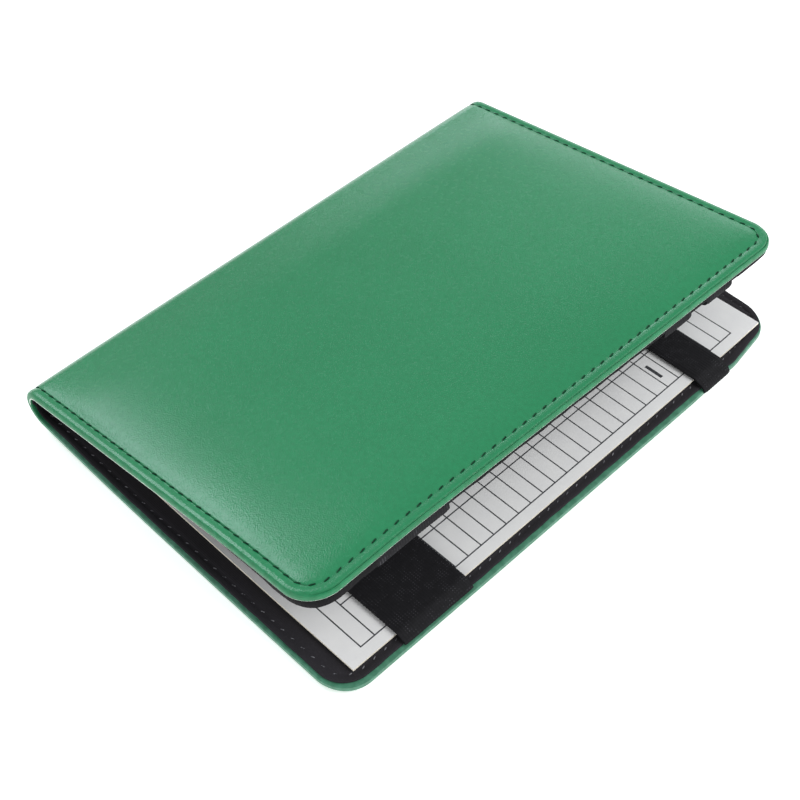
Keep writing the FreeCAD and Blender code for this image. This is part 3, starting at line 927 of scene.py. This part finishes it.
def leather_material():
    """Semi-gloss green leatherette with a fine pebble grain."""
    n = Nodes("green_leatherette")
    patchy = n.noise(22, 4)
    fine = n.noise(900, 2)
    colour = n.mix(n.ramp(patchy, 0.3, 0.7, 0, 1), srgb(29, 125, 80), srgb(34, 131, 85))
    colour = n.mix(n.ramp(fine, 0.35, 0.75, 0, 0.35), colour, srgb(26, 106, 66))
    pebble = n.cells(2500)
    height = n.math("ADD", n.math("MULTIPLY", pebble, 0.6), n.math("MULTIPLY", n.noise(3200, 2), 0.5))
    normal = n.bump(height, 0.00008, 0.7)
    roughness = n.ramp(n.noise(700, 3), 0.3, 0.7, 0.23, 0.29)
    return n.finish(colour, roughness, normal, Specular_IOR_Level=0.5)


def past_fold(n):
    """0 at the middle of the fold, 1 a little beyond the fold."""
    x = n.add("ShaderNodeSeparateXYZ", {"Vector": n.place}).outputs[0]
    return n.ramp(x, (FOLD_X - FOLD_RADIUS / 2) * MM, (FOLD_X + FOLD_RADIUS) * MM, 0, 1)


def rim_material(name, dark, light):
    """Leatherette stretched round the edge: duller, with fine puckers."""
    n = Nodes(name)
    puckers = n.noise(520, 3)
    own = n.mix(n.ramp(puckers, 0.35, 0.65, 0, 1), dark, light)
    colour = n.mix(past_fold(n), srgb(*FOLD_RIM_COLOUR), own)
    height = n.math("ADD", puckers, n.math("MULTIPLY", n.noise(2400, 2), 0.15))
    return n.finish(colour, 0.42, n.bump(height, 0.0003, 0.6), Specular_IOR_Level=0.35)


def raw_edge_material():
    """Pale fabric backing that shows where the leatherette is cut."""
    n = Nodes("leatherette_backing")
    colour = n.mix(n.ramp(n.noise(1800, 2), 0.4, 0.6, 0, 1), srgb(225, 228, 220), srgb(170, 196, 182))
    return n.finish(colour, 0.85, n.bump(n.noise(3000, 2), 0.00005))


def ridges(n, axis, pitch):
    """0 to 1 ridges across an axis."""
    part = n.add("ShaderNodeSeparateXYZ", {"Vector": n.place}).outputs[axis]
    return n.ramp(n.math("SINE", n.math("MULTIPLY", part, 2 * math.pi / (pitch * MM))), -1, 1, 0, 1)


def lining_material(name, dark, light):
    """Matt black cloth with a very fine plain weave and a little lint."""
    n = Nodes(name)
    threads = n.math("MULTIPLY", ridges(n, 0, 0.45), ridges(n, 1, 0.45))
    own = n.mix(n.ramp(n.noise(60, 4), 0.3, 0.7, 0, 1), dark, light)
    colour = n.mix(past_fold(n), srgb(*FOLD_LINING_COLOUR), own)
    colour = n.mix(n.ramp(n.noise(1400, 2), 0.55, 0.8, 0, 0.3), colour, srgb(58, 56, 62))
    return n.finish(colour, 0.85, n.bump(threads, 0.00005, 0.6), Specular_IOR_Level=0.2)


def elastic_material():
    """Black ribbed elastic; the weft crosses the ribs as small steps, and pale dots painted on the crests
    stand in for highlights.
    """
    n = Nodes("black_elastic")
    weft = ridges(n, 0, 0.62)
    colour = n.mix(n.noise(900, 2), srgb(14, 14, 17), srgb(25, 25, 29))
    # Pale grey dots where the weft and the ribs cross are painted highlights on the rib crests.
    crests = n.ramp(n.math("MULTIPLY", weft, ridges(n, 1, RIB_PITCH)), 0.6, 0.9, 0, 1)
    painted_crest_highlights = n.math("MULTIPLY", crests, n.ramp(n.noise(500, 2), 0.5, 0.65, 0, 0.5))
    colour = n.mix(painted_crest_highlights, colour, srgb(92, 92, 98))
    height = n.math("ADD", n.math("MULTIPLY", weft, 0.5), n.math("MULTIPLY", n.noise(2500, 2), 0.6))
    return n.finish(colour, 0.8, n.bump(height, 0.00006, 0.6), Specular_IOR_Level=0.25)


def thread_material(name, dark, light):
    """Spun thread: fine diagonal strands."""
    n = Nodes(name)
    strands = n.noise(2200, 2, stretch=(1.0, 0.35, 1.0))
    colour = n.mix(n.ramp(strands, 0.35, 0.65, 0, 1), dark, light)
    return n.finish(colour, 0.7, n.bump(strands, 0.00008), Specular_IOR_Level=0.15)


def between(n, value, low, high):
    """1 between two values, 0 outside."""
    above = n.math("GREATER_THAN", value, low * MM)
    return n.math("MULTIPLY", above, n.math("LESS_THAN", value, high * MM))


def repeated(n, value, first, pitch, width):
    """1 on lines a pitch apart, from the first one on both ways."""
    phase = n.math("SUBTRACT", value, (first - pitch / 2) * MM)
    back = n.math("SUBTRACT", n.math("FLOORED_MODULO", phase, pitch * MM), pitch * MM / 2)
    return n.math("LESS_THAN", n.math("ABSOLUTE", back), width * MM / 2)


def card_material():
    """Pale card printed with a grid of thin lines and one dash."""
    n = Nodes("printed_card")
    parts = n.add("ShaderNodeSeparateXYZ", {"Vector": n.place}).outputs
    x, y = parts[0], parts[1]
    half = LINE_WIDTH / 2
    in_length = between(n, y, ROW_FIRST - half, ROW_LAST + half)
    in_width = n.math("LESS_THAN", x, (FRAME_X + half) * MM)
    pitch = (ROW_LAST - ROW_FIRST) / ROW_COUNT
    rows = repeated(n, y, ROW_FIRST, pitch, LINE_WIDTH)
    columns = repeated(n, x, FRAME_X, COLUMN_PITCH, LINE_WIDTH)
    inside = n.math("LESS_THAN", x, (FRAME_X - COLUMN_PITCH / 2) * MM)
    headed = n.math("SUBTRACT", 1.0, between(n, y, ROW_FIRST + pitch, COLUMNS_END))
    columns = n.math("SUBTRACT", columns, n.math("MULTIPLY", inside, headed))
    lines = n.math("MULTIPLY", n.math("MAXIMUM", rows, columns), n.math("MULTIPLY", in_length, in_width))
    dash = n.math("MULTIPLY", between(n, x, *DASH_X), between(n, y, *DASH_Y))
    ink = n.math("MAXIMUM", lines, dash)
    paper = n.mix(n.ramp(n.noise(240, 4), 0.3, 0.7, 0, 1), srgb(238, 239, 240), srgb(243, 244, 244))
    colour = n.mix(ink, paper, srgb(62, 64, 68))
    return n.finish(colour, n.ramp(n.noise(900, 2), 0.3, 0.7, 0.42, 0.52), n.bump(n.noise(1500, 3), 0.00002))


def card_edge_material():
    """Cut edges and inside of the card: uncoated cream stock."""
    n = Nodes("card_cut_edge")
    colour = n.mix(n.ramp(n.noise(1600, 2), 0.35, 0.65, 0, 1), srgb(252, 246, 232), srgb(240, 232, 214))
    return n.finish(colour, 0.8, n.bump(n.noise(2500, 2), 0.00003))


def foam_material():
    """Pale open-cell foam."""
    n = Nodes("padding_foam")
    pores = n.cells(900)
    colour = n.mix(n.ramp(pores, 0.1, 0.5, 0, 1), srgb(190, 185, 170), srgb(232, 228, 215))
    return n.finish(colour, 0.95, n.bump(pores, 0.0003))


def board_material():
    """Grey pulp board with flecks."""
    n = Nodes("grey_board")
    colour = n.mix(n.ramp(n.noise(500, 5), 0.4, 0.65, 0, 1), srgb(140, 134, 124), srgb(168, 162, 150))
    return n.finish(colour, 0.9, n.bump(n.noise(900, 4), 0.00008))


def floor_material():
    """Plain white paper sweep."""
    n = Nodes("white_floor")
    colour = n.mix(n.ramp(n.noise(40, 3), 0.3, 0.7, 0, 1), (0.93, 0.93, 0.93, 1), (0.95, 0.95, 0.95, 1))
    return n.finish(colour, 0.9, Emission_Color=(1, 1, 1, 1), Emission_Strength=FLOOR_GLOW)


MATERIALS = {
    "leather": leather_material(),
    "front_rim": rim_material("front_rim_leatherette", srgb(24, 112, 70), srgb(32, 128, 83)),
    "back_rim": rim_material("back_rim_leatherette", srgb(62, 120, 94), srgb(80, 140, 114)),
    "raw_edge": raw_edge_material(),
    # The two linings are one black cloth: the front copy is painted darker as shade, the back copy painted
    # lighter as light.
    "front_lining": lining_material("front_black_lining_painted_shade", srgb(11, 11, 13), srgb(17, 16, 19)),
    "back_lining": lining_material("back_black_lining_painted_light", srgb(39, 38, 41), srgb(45, 43, 48)),
    "elastic": elastic_material(),
    "green_thread": thread_material("green_thread", srgb(4, 38, 24), srgb(16, 66, 42)),
    # The bobbin thread is near-black; its pale grey strands are painted glints.
    "grey_thread": thread_material("grey_thread", srgb(46, 46, 50), srgb(134, 134, 140)),
    "black_thread": thread_material("black_thread", srgb(16, 16, 18), srgb(44, 44, 48)),
    "card": card_material(),
    "card_edge": card_edge_material(),
    "foam": foam_material(),
    "board": board_material(),
}


# Assembly


def bend_with_fold(piece, cover, depth):
    """Bake the piece's placement into its mesh."""
    flat_side = cover.place(0, 0, depth) * MM
    middle = cover.place(-cover.fold, 0, depth) * MM
    if cover is BACK:
        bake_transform(piece)
    else:
        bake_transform(piece)


def make_cover(side, cover, relief, rise, raw_edge_slot):
    body = f"{side}_cover"
    leather = make_leather(cover, f"{side}_leather_cover", relief, f"{side}_rim", raw_edge_slot)
    bend_with_fold(leather, cover, LEATHER / 2)
    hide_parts(f"{side}_outer_leather", "spine_outer_leather")

    foam_top = LEATHER + LAYER_GAP
    foam = make_filling(cover, f"{side}_padding", foam_top, FOAM, rise, MATERIALS["foam"])
    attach(foam, body)
    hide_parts(f"{side}_foam_pad")

    board = make_filling(cover, f"{side}_board", FOAM + LAYER_GAP, HEM, no_rise, MATERIALS["board"])
    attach(board, body)
    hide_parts(f"{side}_stiffener_board")

    strip = make_fold_foam(cover, f"{side}_fold_padding")
    bend_with_fold(strip, cover, FOAM)
    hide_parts("spine_foam_strip")

    lining = make_lining(cover, f"{side}_lining_cloth", MATERIALS[f"{side}_lining"])
    bend_with_fold(lining, cover, (LINING + LINING_UNDER) / 2)
    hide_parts(f"{side}_lining", "spine_lining")

    size = (STITCH_LENGTH, THREAD_RADIUS)
    sunk = GROOVE * TOP_SINK
    top = make_stitching(cover, f"{side}_top_stitches", sunk, 1, size, MATERIALS["green_thread"])
    bend_with_fold(top, cover, LEATHER / 2)
    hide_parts(f"{side}_edge_stitching", "spine_edge_stitching")

    size = (BOBBIN_LENGTH, BOBBIN_RADIUS)
    sunk = LINING - LINING_GROOVE * BOBBIN_SINK
    # The bobbin stitches' pale streaks are painted glints on a near-black thread.
    under = make_stitching(cover, f"{side}_bobbin_stitches", sunk, -1, size, MATERIALS["grey_thread"])
    bend_with_fold(under, cover, (LINING + LINING_UNDER) / 2)
    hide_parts(f"{side}_lining_stitching", "spine_lining_stitching")


def make_straps():
    for name in BACK_STRAPS:
        make_strap(BACK, name, back_strap_path(name == "back_narrow_strap"), "back_cover")
    for name in FRONT_STRAPS:
        rise = 0.0 if name == "front_wide_strap" else NARROW_STRAP_RISE
        make_strap(FRONT, name, front_strap_path(rise), "front_cover")
    for side, cover, straps in (("back", BACK, BACK_STRAPS), ("front", FRONT, FRONT_STRAPS)):
        tacks = make_tacks(cover, f"{side}_tack_stitches", straps)
        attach(tacks, f"{side}_cover")
        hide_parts(f"{side}_strap_tacks")


# Studio


def make_camera():
    heading, drop, roll = (math.radians(a) for a in (CAMERA_HEADING, CAMERA_DROP, CAMERA_ROLL))
    level = Vector((-math.sin(heading), math.cos(heading), 0))
    forward = level * math.cos(drop) - Vector((0, 0, math.sin(drop)))
    right = forward.cross(Vector((0, 0, 1))).normalized()
    up = right.cross(forward)
    turned_right = right * math.cos(roll) + up * math.sin(roll)
    turned_up = up * math.cos(roll) - right * math.sin(roll)
    matrix = Matrix((turned_right, turned_up, -forward)).transposed().to_4x4()
    matrix.translation = CAMERA_EYE
    data = bpy.data.cameras.new("camera")
    data.lens = CAMERA_LENS
    data.sensor_width = 36
    data.clip_start = 0.01
    camera = bpy.data.objects.new("camera", data)
    camera.matrix_world = matrix
    bpy.context.scene.collection.objects.link(camera)
    bpy.context.scene.camera = camera


def make_light(name, place, size, power, colour):
    """A rectangular soft light that faces the object."""
    data = bpy.data.lights.new(name, "AREA")
    data.shape = "RECTANGLE"
    data.size, data.size_y = size
    data.energy = power
    data.color = colour
    light = bpy.data.objects.new(name, data)
    light.location = place
    light.rotation_euler = (-Vector(place)).to_track_quat("-Z", "Y").to_euler()
    bpy.context.scene.collection.objects.link(light)


def make_studio():
    bpy.ops.mesh.primitive_grid_add(x_subdivisions=8, y_subdivisions=8, size=FLOOR_SIZE)
    floor = bpy.context.object
    floor.name = "floor"
    floor.data.materials.append(floor_material())
    for name, setting in LIGHTS.items():
        make_light(name, *setting)
    world = bpy.data.worlds.new("studio")
    world.use_nodes = True
    world.node_tree.nodes["Background"].inputs["Color"].default_value = (1, 1, 1, 1)
    world.node_tree.nodes["Background"].inputs["Strength"].default_value = SKY
    bpy.context.scene.world = world
    bpy.context.scene.view_settings.view_transform = "Standard"


SWELL = swollen_face(FRONT)
make_camera()
make_studio()
make_cover("back", BACK, back_relief, no_rise, 1)
make_cover("front", FRONT, front_relief, front_rise, 2)
make_straps()
make_card()
